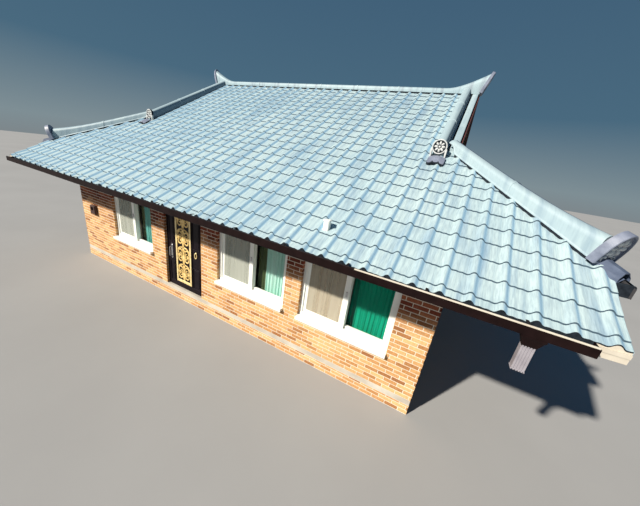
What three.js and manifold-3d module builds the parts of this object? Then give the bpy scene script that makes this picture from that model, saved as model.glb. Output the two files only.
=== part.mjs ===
// A one-storey hanok house: brick walls on a floor slab under a hip-and-gable roof
// of pressed metal tile sheets. Millimetres, +Z up. The origin is on the ground
// under the middle of the main ridge; the front with the door faces -Y.
import * as THREE from 'three';
import { mergeVertices } from 'three/addons/utils/BufferGeometryUtils.js';
import Module from 'manifold-3d';

const wasm = await Module();
wasm.setup();

// Driving dimensions
const SEAT = 0.3;                       // gap between pieces that touch

const HALF_LENGTH = 4230;               // outer faces of the side walls
const HALF_DEPTH = 4000;                // outer faces of the front and back walls
const WALL = 190;                       // one brick thick
const FOOTING_TOP = 170;
const FLOOR_TOP = 260;

const PITCH = Math.tan(THREE.MathUtils.degToRad(30));
const EAVE_Y = 4750;                    // front and back eaves, from the ridge
const EAVE_Z = 2250;                    // top of the sheet at the middle of the eave
const EAVE_LIFT = 35;                   // rise of the eave line at its two ends
const LIFT_POWER = 6;                   // the rise is held back to the last metre
const LIFT_FROM_Y = 4250;               // the sheet starts to curl up here
const DECK = 100;                       // boards and sheet, measured upright
const SHEET_HALF = 5450;                // side edges of the front and back slopes
const SIDE_EAVE_X = 5600;               // eaves of the two side slopes
const GABLE_X = 3810;                   // edge of the roof over the gable
const GABLE_WALL_X = 3600;
const GABLE_WALL_THICK = 100;
const HIP_SHIFT = 1480;                 // on a hip, |x| - |y| is this
const APEX_Z = EAVE_Z + EAVE_Y * PITCH;

const RIDGE_TOP = 5095;
const RIDGE_HALF_WIDTH = 100;
const RIDGE_RISE_FROM = 3150;           // where the ridge starts to curve up
const RIDGE_END_X = 3820;               // foot of the ridge's end, which leans outwards
const RIDGE_LEAN = 0.35;
const RIDGE_TIP_Z = 5400;
const GABLE_RIDGE_X = 3565;
const GABLE_RIDGE_HALF_WIDTH = 90;
const GABLE_RIDGE_HEIGHT = { head: 160, foot: 235 };
const GABLE_RIDGE_FOOT_Y = 2520;
const HIP_RIDGE_HALF_WIDTH = 115;
const HIP_RIDGE_HEIGHT = { head: 155, foot: 255 };   // the ridge curves up to its foot
const HIP_RIDGE_HEAD_X = [3745, 3815];   // the head lies on the front or back slope alone
const HIP_RIDGE_FROM_X = 3870;
const HIP_RIDGE_TO_X = 5370;
const CORNER_CAP_TO_X = 5530;
const CORNER_CAP_HEIGHT = 75;
const END_DISC = { radius: 112, thick: 55, up: 148 };
const HIP_TILE = { at: 5345, width: 320, height: 330, thick: 80, lean: 20 };
const RIDGE_TILE = { width: 270, height: 440, thick: 60, lean: 19 };

const OPENING_BOTTOM = 800;
const OPENING_TOP = 2200;
const WINDOWS = [[-2860, -1460], [458, 1964], [2253, 3745]];
const BACK_WINDOWS = [[-2950, -1450], [1450, 2950]];
const SILL = { thick: 50, out: 70 };
const FRAME = { set: 50, deep: 90, bar: 55, stile: 80 };
const GLASS_THICK = 18;
const CURTAIN = { thick: 55, over: 90 };

const DOORWAY = [-1034, 28];
const DOOR_SET = 50;                    // the door frame stands back from the wall face
const DOOR_FRAME_DEEP = 90;
const JAMB = 40;
const HEAD = 85;
const LEAF = { thick: 50, gap: 5, latchGap: 8 };
const PANEL = { x: [-754, -305], foot: 90, head: 70, thick: 14 };
const METER_BOX = { x: [-3750, -3550], out: 70, z: [1200, 1420] };
const HINGE = { radius: 7, off: 12, height: 60, plate: 30 };

const GUTTER = { half: 5230, wide: 120, tall: 80, wall: 7, top: 2290, backTall: 45 };
const SPOUT = { x: 4855, wide: 105, deep: 80, foot: 1860, hopperTop: 180, hopperTall: 100 };

// Materials
const paint = (hex, roughness = 0.6, metalness = 0) =>
  new THREE.MeshStandardMaterial({ color: hex, roughness, metalness });
const SHEET = paint(0xb6c8cf, 0.42, 0.35);
const CAP = paint(0xa9b9c4, 0.4, 0.35);
const BRICK = paint(0xa85f3a, 0.85);
const CONCRETE = paint(0xd9d3c6, 0.9);
const PLASTER = paint(0xe6e2d8, 0.85);
const WHITE = paint(0xf0efe9, 0.4);
const CLEAR = paint(0x6d8a8c, 0.08);
const CURTAIN_CLOTH = paint(0x2fa287, 0.9);
const DARK_WOOD = paint(0x3a2019, 0.7);
const DARK_METAL = paint(0x2b2624, 0.45, 0.5);
const GOLD = paint(0xc79a3a, 0.4, 0.7);
const GUTTER_PAINT = paint(0x35302d, 0.5, 0.3);

const house = new THREE.Group();

function place(name, geometry, material) {
  const mesh = new THREE.Mesh(geometry, material);
  mesh.name = name;
  house.add(mesh);
  return mesh;
}

function box(x, y, z) {
  const geometry = new THREE.BoxGeometry(x[1] - x[0], y[1] - y[0], z[1] - z[0]);
  return geometry.translate((x[0] + x[1]) / 2, (y[0] + y[1]) / 2, (z[0] + z[1]) / 2);
}

function outline(points) {
  return new THREE.Shape(points.map(([a, b]) => new THREE.Vector2(a, b)));
}

// An outline drawn in X and Z, carried from y[0] to y[1].
function alongY(shape, y) {
  const geometry = new THREE.ExtrudeGeometry(shape, { depth: y[1] - y[0], bevelEnabled: false });
  return geometry.rotateX(Math.PI / 2).translate(0, y[1], 0);
}

// An outline drawn in Y and Z, carried from x[0] to x[1].
function alongX(shape, x) {
  const geometry = new THREE.ExtrudeGeometry(shape, { depth: x[1] - x[0], bevelEnabled: false });
  const turn = new THREE.Matrix4().makeBasis(
    new THREE.Vector3(0, 1, 0), new THREE.Vector3(0, 0, 1), new THREE.Vector3(1, 0, 0));
  return geometry.applyMatrix4(turn).translate(x[0], 0, 0);
}

function rectangle(u, v) {
  return [[u[0], v[0]], [u[1], v[0]], [u[1], v[1]], [u[0], v[1]]];
}

// Closed surfaces from points and triangles, turned so that the faces point out.
function closed(points, faces) {
  let volume = 0;
  for (const [a, b, c] of faces) {
    const [p, q, r] = [points[a], points[b], points[c]];
    volume += p[0] * (q[1] * r[2] - q[2] * r[1]) + p[1] * (q[2] * r[0] - q[0] * r[2])
      + p[2] * (q[0] * r[1] - q[1] * r[0]);
  }
  const turned = volume < 0 ? faces.map(([a, b, c]) => [a, c, b]) : faces;
  const geometry = new THREE.BufferGeometry();
  geometry.setAttribute('position', new THREE.Float32BufferAttribute(points.flat(), 3));
  geometry.setIndex(turned.flat());
  return geometry;
}

// A skin through rings with the same number of points, with both ends capped.
function loft(rings, flat) {
  const count = flat.length;
  const points = rings.flat();
  const faces = [];
  for (let k = 0; k + 1 < rings.length; k++) {
    for (let i = 0; i < count; i++) {
      const a = k * count + i;
      const b = k * count + (i + 1) % count;
      faces.push([a, b, b + count], [a, b + count, a + count]);
    }
  }
  const cap = THREE.ShapeUtils.triangulateShape(flat.map(([u, v]) => new THREE.Vector2(u, v)), []);
  const last = (rings.length - 1) * count;
  for (const [a, b, c] of cap) {
    faces.push([a, c, b], [last + a, last + b, last + c]);
  }
  const winding = THREE.ShapeUtils.isClockWise(flat.map(([u, v]) => new THREE.Vector2(u, v)));
  const upright = faces.length - 2 * cap.length;
  const sides = winding ? faces.map(([a, b, c], i) => (i < upright ? [a, c, b] : [a, b, c])) : faces;
  return closed(points, sides);
}

function toManifold(geometry) {
  const bare = geometry.clone();
  bare.deleteAttribute('normal');
  bare.deleteAttribute('uv');
  bare.clearGroups();
  const merged = mergeVertices(bare, 1e-3);
  return new wasm.Manifold(new wasm.Mesh({
    numProp: 3,
    vertProperties: new Float32Array(merged.attributes.position.array),
    triVerts: new Uint32Array(merged.index.array),
  }));
}

function toGeometry(manifold) {
  const mesh = manifold.getMesh();
  const geometry = new THREE.BufferGeometry();
  const points = [];
  for (let i = 0; i < mesh.numVert; i++) {
    points.push(mesh.vertProperties[i * mesh.numProp], mesh.vertProperties[i * mesh.numProp + 1],
      mesh.vertProperties[i * mesh.numProp + 2]);
  }
  geometry.setAttribute('position', new THREE.Float32BufferAttribute(points, 3));
  geometry.setIndex(Array.from(mesh.triVerts));
  return geometry;
}

function cut(body, ...tools) {
  let solid = toManifold(body);
  for (const tool of tools) {
    solid = solid.subtract(toManifold(tool));
  }
  return toGeometry(solid);
}

function join(...bodies) {
  let solid = toManifold(bodies[0]);
  for (const body of bodies.slice(1)) {
    solid = solid.add(toManifold(body));
  }
  return toGeometry(solid);
}

// A panel standing along X, with upright rectangular holes right through it.
function pierced(x, y, z, holes) {
  const through = [y[0] - 10, y[1] + 10];
  return cut(box(x, y, z), ...holes.map(([across, up]) => box(across, through, up)));
}

function mirrored(geometry, x, y) {
  const copy = geometry.clone().scale(x, y, 1);
  if (x * y < 0) {
    const index = copy.index.array;
    for (let i = 0; i < index.length; i += 3) {
      [index[i + 1], index[i + 2]] = [index[i + 2], index[i + 1]];
    }
  }
  return copy;
}

// Heights of the roof surface
const mainSlope = (y) => APEX_Z - Math.abs(y) * PITCH;
const sideSlope = (x) => APEX_Z - (Math.abs(x) - HIP_SHIFT) * PITCH;

// Space above the underside of the front and back decks, or of a side deck.
function aboveMainDeck(x, drop) {
  const low = (y) => mainSlope(y) - drop;
  const edge = [[-5200, low(5200)], [0, low(0)], [5200, low(5200)]];
  return alongX(outline([...edge, [5200, 7000], [-5200, 7000]]), x);
}

function aboveSideDeck(side, drop) {
  const low = (x) => sideSlope(x) - drop;
  const x = [3300 * side, 6000 * side];
  return alongY(outline([[x[0], low(x[0])], [x[1], low(x[1])], [x[1], 7000], [x[0], 7000]]), [-5200, 5200]);
}

// Base
function base() {
  const x = [-HALF_LENGTH, HALF_LENGTH];
  const y = [-HALF_DEPTH, HALF_DEPTH];
  place('foundation', box(x, y, [0, FOOTING_TOP]), BRICK);
  place('floor_slab', box(x, y, [FOOTING_TOP + SEAT, FLOOR_TOP]), CONCRETE);
}

// Walls
function longWall(name, x, holes, back) {
  const y = back ? [HALF_DEPTH - WALL, HALF_DEPTH] : [-HALF_DEPTH, WALL - HALF_DEPTH];
  const openings = holes.map((hole) => [hole, [OPENING_BOTTOM, OPENING_TOP]]);
  const wall = pierced(x, y, [FLOOR_TOP + SEAT, 2800], openings);
  place(name, cut(wall, aboveMainDeck([-5000, 5000], DECK + SEAT)), BRICK);
}

function sideWall(name, side) {
  const inner = HALF_DEPTH - WALL - SEAT;
  const x = side > 0 ? [HALF_LENGTH - WALL, HALF_LENGTH] : [-HALF_LENGTH, WALL - HALF_LENGTH];
  const plain = box(x, [-inner, inner], [FLOOR_TOP + SEAT, 3600]);
  const clear = DECK + SEAT;
  place(name, cut(plain, aboveMainDeck([-5000, 5000], clear), aboveSideDeck(side, clear)), BRICK);
}

function walls() {
  longWall('front_wall_left', [-HALF_LENGTH, DOORWAY[0]], [WINDOWS[0]], false);
  longWall('front_wall_right', [DOORWAY[1], HALF_LENGTH], [WINDOWS[1], WINDOWS[2]], false);
  const overX = [DOORWAY[0] + SEAT, DOORWAY[1] - SEAT];
  const overDoor = box(overX, [-HALF_DEPTH, WALL - HALF_DEPTH], [OPENING_TOP, 2800]);
  place('front_wall_over_door', cut(overDoor, aboveMainDeck([-5000, 5000], DECK + SEAT)), BRICK);
  longWall('back_wall', [-HALF_LENGTH, HALF_LENGTH], BACK_WINDOWS, true);
  sideWall('left_wall', -1);
  sideWall('right_wall', 1);
}

// Windows: a white frame with two lights, its glass, a projecting sill and a curtain.
function windowAt(name, x, back, withCurtain) {
  const side = back ? 1 : -1;
  const face = side * HALF_DEPTH;
  const span = (from, to) => [face - side * from, face - side * to].sort((a, b) => a - b);
  const wide = [x[0] + SEAT, x[1] - SEAT];
  const sillTop = OPENING_BOTTOM + SEAT + SILL.thick;
  place(`${name}_sill`, box(wide, span(-SILL.out, WALL), [OPENING_BOTTOM + SEAT, sillTop]), WHITE);

  const bottom = sillTop + SEAT;
  const top = OPENING_TOP - SEAT;
  const middle = (wide[0] + wide[1]) / 2;
  const inner = [bottom + FRAME.bar, top - FRAME.bar];
  const lights = [[[wide[0] + FRAME.bar, middle - FRAME.stile / 2], inner],
    [[middle + FRAME.stile / 2, wide[1] - FRAME.bar], inner]];
  const deep = span(FRAME.set, FRAME.set + FRAME.deep);
  place(`${name}_frame`, pierced(wide, deep, [bottom, top], lights), WHITE);

  const rim = FRAME.bar / 2;
  const behind = FRAME.set + FRAME.deep + SEAT;
  const pane = box([wide[0] + rim, wide[1] - rim], span(behind, behind + GLASS_THICK),
    [bottom + rim, OPENING_TOP - rim]);
  place(`${name}_glass`, pane, CLEAR);

  if (withCurtain) {
    const cloth = box([x[0] - CURTAIN.over, x[1] + CURTAIN.over],
      span(WALL + SEAT, WALL + SEAT + CURTAIN.thick), [OPENING_BOTTOM - 60, OPENING_TOP + CURTAIN.over]);
    place(`${name}_curtain`, cloth, CURTAIN_CLOTH);
  }
}

function windows() {
  WINDOWS.forEach((x, i) => windowAt(`window_${i + 1}`, x, false, true));
  BACK_WINDOWS.forEach((x, i) => windowAt(`back_window_${i + 1}`, x, true, false));
}

// Doorway: a dark frame and one leaf on lift-off hinges.
const doorFront = DOOR_SET - HALF_DEPTH;
const leafLeft = DOORWAY[0] + SEAT + JAMB + LEAF.latchGap;
const leafRight = DOORWAY[1] - SEAT - JAMB - LEAF.gap;
const leafBottom = FLOOR_TOP + SEAT + JAMB + LEAF.gap;
const leafTop = OPENING_TOP - SEAT - HEAD - LEAF.gap;
const hingeX = leafRight + LEAF.gap / 2;
const hingeY = doorFront - HINGE.off;

function knuckle(z, toward) {
  const barrel = new THREE.CylinderGeometry(HINGE.radius, HINGE.radius, z[1] - z[0], 16);
  barrel.rotateX(Math.PI / 2).translate(hingeX, hingeY, (z[0] + z[1]) / 2);
  const bridge = box([hingeX - 5, hingeX + 5], [hingeY, hingeY + 6], z);
  const near = LEAF.gap / 2;
  const x = toward < 0 ? [hingeX - HINGE.plate, hingeX - near] : [hingeX + near, hingeX + HINGE.plate];
  return join(barrel, bridge, box(x, [hingeY + 3, doorFront + 5], z));
}

function doorway() {
  const outer = [[DOORWAY[0] + SEAT, DOORWAY[1] - SEAT], [FLOOR_TOP + SEAT, OPENING_TOP - SEAT]];
  const inside = [[outer[0][0] + JAMB, outer[0][1] - JAMB], [outer[1][0] + JAMB, outer[1][1] - HEAD]];
  const frame = pierced(outer[0], [doorFront, doorFront + DOOR_FRAME_DEEP], outer[1], [inside]);
  const hingeHeights = [leafBottom + 180, (leafBottom + leafTop) / 2, leafTop - 240];
  const half = HINGE.height / 2;
  const lower = hingeHeights.map((z) => knuckle([z - half - SEAT, z - SEAT], 1));
  const upper = hingeHeights.map((z) => knuckle([z, z + half], -1));
  place('door_frame', join(frame, ...lower), DARK_METAL);

  const leaf = box([leafLeft, leafRight], [doorFront, doorFront + LEAF.thick], [leafBottom, leafTop]);
  place('door_leaf', join(leaf, ...upper), DARK_METAL);

  const panel = box(PANEL.x, [doorFront - SEAT - PANEL.thick, doorFront - SEAT],
    [leafBottom + PANEL.foot, leafTop - PANEL.head]);
  place('door_panel', panel, GOLD);

  const gripX = leafLeft + 100;
  const gripZ = [FLOOR_TOP + 660, FLOOR_TOP + 890];
  const grip = box([gripX - 11, gripX + 11], [doorFront - 58, doorFront - 38], gripZ);
  const feet = gripZ.map((z, i) => box([gripX - 11, gripX + 11], [doorFront - 45, doorFront - SEAT],
    i ? [z - 30, z] : [z, z + 30]));
  place('door_handle', join(grip, ...feet), GOLD);
}

// Roof decks. Rows run across the slope, each from -half to half.
function deck(rows, columns, top) {
  const points = [];
  const faces = [];
  const line = columns + 1;
  for (const drop of [0, DECK]) {
    for (const [along, half] of rows) {
      for (let i = 0; i <= columns; i++) {
        const across = half * (2 * i / columns - 1);
        points.push([across, along, top(across, along) - drop]);
      }
    }
  }
  const under = rows.length * line;
  const strip = (a, b) => [[a, b, under + b], [a, under + b, under + a]];
  for (let j = 0; j + 1 < rows.length; j++) {
    for (let i = 0; i < columns; i++) {
      const a = j * line + i;
      const b = under + a;
      faces.push([a, a + 1, a + line + 1], [a, a + line + 1, a + line]);
      faces.push([b, b + line + 1, b + 1], [b, b + line, b + line + 1]);
    }
    for (const i of [0, columns]) {
      const a = j * line + i;
      const b = a + line;
      faces.push(...(i ? strip(b, a) : strip(a, b)));
    }
  }
  for (const j of [0, rows.length - 1]) {
    for (let i = 0; i < columns; i++) {
      const a = j * line + i;
      const b = a + 1;
      faces.push(...(j ? strip(a, b) : strip(b, a)));
    }
  }
  return closed(points, faces);
}

function eaveLift(x, y) {
  const out = Math.max(0, (Math.abs(y) - LIFT_FROM_Y) / (EAVE_Y - LIFT_FROM_Y));
  return EAVE_LIFT * (x / SHEET_HALF) ** LIFT_POWER * out ** 2;
}

function decks() {
  const rows = [];
  for (let k = 0; k <= 4; k++) {
    rows.push([-EAVE_Y + (EAVE_Y - LIFT_FROM_Y) * k / 4, SHEET_HALF]);
  }
  rows.push([HIP_SHIFT - SHEET_HALF, SHEET_HALF], [HIP_SHIFT - GABLE_X, GABLE_X], [-SEAT / 2, GABLE_X]);
  const front = deck(rows, 16, (x, y) => mainSlope(y) + eaveLift(x, y));
  place('front_roof', front, SHEET);
  place('back_roof', mirrored(front, -1, -1), SHEET);

  const edge = (x) => x - HIP_SHIFT - 2 * SEAT;
  const sideRows = [SIDE_EAVE_X, GABLE_WALL_X].map((x) => [-x, edge(x)]);
  const side = deck(sideRows, 2, (y, x) => sideSlope(x));
  const right = cut(side.rotateZ(Math.PI / 2), aboveMainDeck([0, GABLE_X + SEAT], DECK + SEAT));
  place('right_roof', right, SHEET);
  place('left_roof', mirrored(right, -1, -1), SHEET);
}

// Gables: a plastered triangle under the roof, and boards along its edge.
function gables() {
  const foot = sideSlope(GABLE_WALL_X) - DECK / 2;
  const top = APEX_Z - DECK - SEAT;
  const reach = (top - foot) / PITCH;
  const wall = outline([[-reach, foot], [reach, foot], [0, top]]);
  const inner = GABLE_WALL_X - SEAT;
  const panel = alongX(wall, [inner - GABLE_WALL_THICK, inner]);
  place('right_gable_wall', panel, PLASTER);
  place('left_gable_wall', alongX(wall, [-inner, GABLE_WALL_THICK - inner]), PLASTER);

  const upper = 10;
  const lower = 230;
  const end = 2290;
  const cutoff = mainSlope(GABLE_X - HIP_SHIFT) + 2 * SEAT;
  const inside = (APEX_Z - lower - cutoff) / PITCH;
  const half = [[0, APEX_Z - upper], [-end, mainSlope(end) - upper], [-end, cutoff], [-inside, cutoff]];
  const other = [[inside, cutoff], [end, cutoff], [end, mainSlope(end) - upper]];
  const board = outline([...half, [0, APEX_Z - lower], ...other]);
  place('right_gable_boards', alongX(board, [GABLE_X + SEAT, GABLE_X + 30]), DARK_WOOD);
  place('left_gable_boards', alongX(board, [-GABLE_X - 30, -GABLE_X - SEAT]), DARK_WOOD);
}

// Section of a sheet-metal ridge: upright sides and a rounded top, over a bent foot.
function ridgeSection(half, height, footDrop) {
  const foot = SEAT + 0.1;
  const ring = [[-half, foot - footDrop], [0, foot], [half, foot - footDrop], [half * 0.86, height * 0.72]];
  for (let k = 1; k <= 5; k++) {
    const turn = Math.PI * k / 6;
    ring.push([half * 0.86 * Math.cos(turn), height * (0.72 + 0.28 * Math.sin(turn))]);
  }
  ring.push([-half * 0.86, height * 0.72]);
  return ring;
}

// An arched end tile on edge at a point, leaning away from the ridge that it closes.
function endTile(at, heading, { width, height, thick, lean }) {
  const side = height * 0.3;
  const ring = [[-width / 2, 0], [width / 2, 0]];
  for (let k = 0; k <= 8; k++) {
    const turn = Math.PI * k / 8;
    ring.push([width / 2 * Math.cos(turn), side + (height - side) * Math.sin(turn)]);
  }
  const plate = alongY(outline(ring), [-thick, 0]);
  plate.rotateX(THREE.MathUtils.degToRad(lean));
  return plate.rotateZ(heading).translate(...at);
}

function mainRidge() {
  const steps = 8;
  const drop = RIDGE_HALF_WIDTH * PITCH;
  const half = [];
  for (let k = 0; k <= steps; k++) {
    const t = k / steps;
    half.push({
      x: RIDGE_RISE_FROM + (RIDGE_END_X - RIDGE_RISE_FROM) * t,
      lean: RIDGE_LEAN * t,
      height: RIDGE_TOP - APEX_Z + (RIDGE_TIP_Z - RIDGE_TOP) * t ** 1.8,
    });
  }
  const line = [...half.map((station) => ({ ...station, side: -1 })).reverse(),
    ...half.map((station) => ({ ...station, side: 1 }))];
  const flat = ridgeSection(RIDGE_HALF_WIDTH, half[0].height, drop);
  const rings = line.map(({ x, lean, height, side }) =>
    ridgeSection(RIDGE_HALF_WIDTH, height, drop).map(([w, z]) =>
      [side * (x + lean * Math.max(0, z)), w, APEX_Z + z]));
  const foot = APEX_Z + RIDGE_TILE.thick * Math.sin(THREE.MathUtils.degToRad(RIDGE_TILE.lean)) + 2;
  const ends = [-1, 1].map((side) =>
    endTile([side * (RIDGE_END_X - 8), 0, foot], side * Math.PI / 2, RIDGE_TILE));
  place('main_ridge', join(loft(rings, flat), ...ends), CAP);
}

function gableRidge(x, y) {
  const { head, foot } = GABLE_RIDGE_HEIGHT;
  const flat = ridgeSection(GABLE_RIDGE_HALF_WIDTH, foot, 0);
  const stations = [[RIDGE_HALF_WIDTH + 2, head], [GABLE_RIDGE_FOOT_Y, foot]];
  const rings = stations.map(([s, height]) => ridgeSection(GABLE_RIDGE_HALF_WIDTH, height, 0)
    .map(([w, h]) => [x * GABLE_RIDGE_X + w, y * s, mainSlope(s) + h]));
  const { radius, thick, up } = END_DISC;
  const disc = new THREE.CylinderGeometry(radius, radius, thick, 24);
  const face = GABLE_RIDGE_FOOT_Y + thick / 2 - 10;
  disc.translate(x * GABLE_RIDGE_X, y * face, mainSlope(face - thick / 2) + up);
  const name = `gable_ridge_${y < 0 ? 'front' : 'back'}_${x < 0 ? 'left' : 'right'}`;
  place(name, join(loft(rings, flat), disc), CAP);
}

function hipRidge(x, y) {
  const drop = HIP_RIDGE_HALF_WIDTH * PITCH / Math.SQRT2;
  const section = (height) => ridgeSection(HIP_RIDGE_HALF_WIDTH, height, drop);
  const flat = section(HIP_RIDGE_HEIGHT.head);
  const tilted = flat.map(([w, h], i) => [w, i === 2 ? h + 2 * drop : h]);
  const ring = (along, points) => points.map(([w, h]) => [
    along + w / Math.SQRT2, HIP_SHIFT - along + w / Math.SQRT2, sideSlope(along) + h]);
  const rings = HIP_RIDGE_HEAD_X.map((along) => ring(along, tilted));
  const steps = 4;
  for (let k = 0; k <= steps; k++) {
    const t = k / steps;
    const height = HIP_RIDGE_HEIGHT.head + (HIP_RIDGE_HEIGHT.foot - HIP_RIDGE_HEIGHT.head) * t ** 4;
    rings.push(ring(HIP_RIDGE_FROM_X + (HIP_RIDGE_TO_X - HIP_RIDGE_FROM_X) * t, section(height)));
  }
  const low = section(CORNER_CAP_HEIGHT);
  const cap = loft([ring(HIP_RIDGE_TO_X - 40, low), ring(CORNER_CAP_TO_X, low)], low);
  const { at } = HIP_TILE;
  const tile = endTile([at, HIP_SHIFT - at, sideSlope(at) + 3], Math.PI / 4, HIP_TILE);
  const name = `hip_ridge_${y < 0 ? 'front' : 'back'}_${x < 0 ? 'left' : 'right'}`;
  place(name, mirrored(join(loft(rings, flat), cap, tile), x, -y), CAP);
}

function ridges() {
  mainRidge();
  for (const y of [-1, 1]) {
    for (const x of [-1, 1]) {
      gableRidge(x, y);
      hipRidge(x, y);
    }
  }
}

// Rainwater: an open gutter of three strips along each long eave, with a spout.
function gutter(name, side) {
  const { half, wide, tall, wall, top, backTall } = GUTTER;
  const near = EAVE_Y + SEAT;
  const plate = (part, across, up) => {
    const y = across.map((m) => side * (near + m)).sort((m, n) => m - n);
    place(`${name}_${part}`, box([-half, half], y, up), GUTTER_PAINT);
  };
  plate('back', [0, wall], [top - tall, top - tall + backTall]);
  plate('base', [wall + SEAT, wide - wall - SEAT], [top - tall, top - tall + wall]);
  plate('lip', [wide - wall, wide], [top - tall, top]);
}

function spout(name, x, side) {
  const { wide, deep, foot, hopperTop, hopperTall } = SPOUT;
  const top = GUTTER.top - GUTTER.tall - SEAT;
  const y = side * (EAVE_Y + SEAT + GUTTER.wide / 2);
  const across = [x - wide / 2, x + wide / 2];
  const pipe = box(across, [y - deep / 2, y + deep / 2], [foot, top - hopperTall + 1]);
  const flat = rectangle([-1, 1], [-1, 1]);
  const ring = (halfX, halfY, z) => flat.map(([u, v]) => [x + u * halfX, y + v * halfY, z]);
  const low = ring(wide / 2, deep / 2, top - hopperTall);
  const hopper = loft([low, ring(hopperTop / 2, GUTTER.wide / 2 - 2, top)], flat);
  place(name, join(pipe, hopper), DARK_METAL);
}

function rainwater() {
  gutter('front_gutter', -1);
  gutter('back_gutter', 1);
  spout('front_spout', SPOUT.x, -1);
  spout('back_spout', -SPOUT.x, 1);
}

function fittings() {
  const face = -HALF_DEPTH - SEAT;
  place('meter_box', box(METER_BOX.x, [face - METER_BOX.out, face], METER_BOX.z), DARK_WOOD);
  const y = [-4421, -4331];
  const roofBox = box([2665, 2755], y, [2200, mainSlope(y[1]) + 108]);
  const onRoof = [4200, 4600].map((m) => [-m, mainSlope(m) + SEAT]);
  const belowRoof = alongX(outline([[-4600, 1900], [-4200, 1900], ...onRoof]), [2500, 2900]);
  place('roof_box', cut(roofBox, belowRoof), WHITE);
}

base();
walls();
windows();
doorway();
decks();
gables();
ridges();
rainwater();
fittings();

export default house;
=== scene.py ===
# Looks of the hanok house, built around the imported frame. Metres, +Z up, front towards -Y.
import math
import random

import bmesh
import bpy
from mathutils import Matrix, Vector


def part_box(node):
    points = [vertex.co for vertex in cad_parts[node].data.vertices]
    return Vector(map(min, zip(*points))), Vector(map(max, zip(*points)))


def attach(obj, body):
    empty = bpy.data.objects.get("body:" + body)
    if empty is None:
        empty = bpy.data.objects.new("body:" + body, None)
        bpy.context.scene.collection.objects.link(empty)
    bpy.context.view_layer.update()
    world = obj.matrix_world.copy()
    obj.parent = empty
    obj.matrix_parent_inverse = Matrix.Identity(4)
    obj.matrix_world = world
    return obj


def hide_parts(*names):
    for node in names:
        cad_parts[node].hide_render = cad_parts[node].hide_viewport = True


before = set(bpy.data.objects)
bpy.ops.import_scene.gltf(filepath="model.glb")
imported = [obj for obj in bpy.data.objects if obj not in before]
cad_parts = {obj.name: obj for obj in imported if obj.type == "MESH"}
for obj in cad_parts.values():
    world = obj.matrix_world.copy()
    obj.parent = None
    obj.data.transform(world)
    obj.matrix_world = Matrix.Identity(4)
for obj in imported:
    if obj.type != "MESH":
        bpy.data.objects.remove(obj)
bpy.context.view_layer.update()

# Sizes that the house is built to
EAVE_Y = 4.75
EAVE_Z = 2.25
EAVE_LIFT = 0.035
LIFT_POWER = 6
LIFT_FROM_Y = 4.25
SLOPE = math.tan(math.radians(30))
SHEET_HALF = 5.45
SIDE_EAVE_X = 5.6
SIDE_HALF = 4.08
GUTTER_HALF = 5.23
CREAM_FROM = 5.235
CURTAIN_Y = -3.783
HIP_SHIFT = 1.48
APEX_Z = EAVE_Z + EAVE_Y * SLOPE
RIDGE_TOP = 5.095
RIDGE_TIP = 5.398
HALF_LENGTH = 4.23
HALF_DEPTH = 4.0
FLOOR_TOP = 0.26
FOOTING_TOP = 0.17
OPENING = (0.8, 2.2)
WINDOWS = {"window_1": (-2.86, -1.46), "window_2": (0.458, 1.964), "window_3": (2.253, 3.745)}
BACK_WINDOWS = {"back_window_1": (-2.95, -1.45), "back_window_2": (1.45, 2.95)}
DOORWAY = (-1.034, 0.028)
DOOR_FRONT = -3.95
SEAT = 0.003

# Pressed tile sheet: across the slope in parts of a pitch, then millimetres up from the sheet
TILE_PITCH = 0.25
TILE_START = 3.906
TILE_ROW = 0.2203
ROW_LINES = [4.673 - TILE_ROW * k for k in range(21, -1, -1)]
ROW_RISE = 0.015
TILE_PROFILE = [(0.0, 10.0), (0.05, 7.0), (0.11, 8.6), (0.16, 10.4), (0.21, 8.8), (0.27, 5.6), (0.33, 5.4),
                (0.39, 7.6), (0.44, 7.0), (0.5, 3.6), (0.57, 1.2), (0.62, 2.0), (0.68, 11.0), (0.73, 25.0),
                (0.78, 35.5), (0.83, 39.0), (0.88, 37.0), (0.93, 27.0), (0.97, 16.5)]

FACES = (("front", -1), ("back", 1))
SIDES = (("right", 1), ("left", -1))
FACING = (Vector((1, 0, 0)), Vector((0, 0, 1)), Vector((0, -1, 0)))

dice = random.Random(11)


def main_z(y):
    return EAVE_Z + (EAVE_Y - abs(y)) * SLOPE


def side_z(x):
    return main_z(abs(x) - HIP_SHIFT)


def eave_lift(x, y):
    """The front and back eaves curve up towards their corners."""
    out = max(0.0, (abs(y) - LIFT_FROM_Y) / (EAVE_Y - LIFT_FROM_Y))
    return EAVE_LIFT * (x / SHEET_HALF) ** LIFT_POWER * out ** 2


def corner_name(x, y):
    return f"{'front' if y < 0 else 'back'}_{'left' if x < 0 else 'right'}"


def middle(span):
    return (span[0] + span[1]) / 2


def about(at, half):
    return (at - half, at + half)


def within(span, inset):
    return (span[0] + inset, span[1] - inset)


def spans(node):
    """A node's reach along X, Y and Z."""
    return list(zip(*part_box(node)))


def linked(name, data):
    """A new object of the scene, made of mesh, light or camera data."""
    thing = bpy.data.objects.new(name, data)
    bpy.context.scene.collection.objects.link(thing)
    return thing


def circle(count):
    """Cosine and sine at equal steps round a circle."""
    turns = [2 * math.pi * k / count for k in range(count)]
    return [(math.cos(turn), math.sin(turn)) for turn in turns]


# Materials
WEAVE = 900.0


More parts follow.
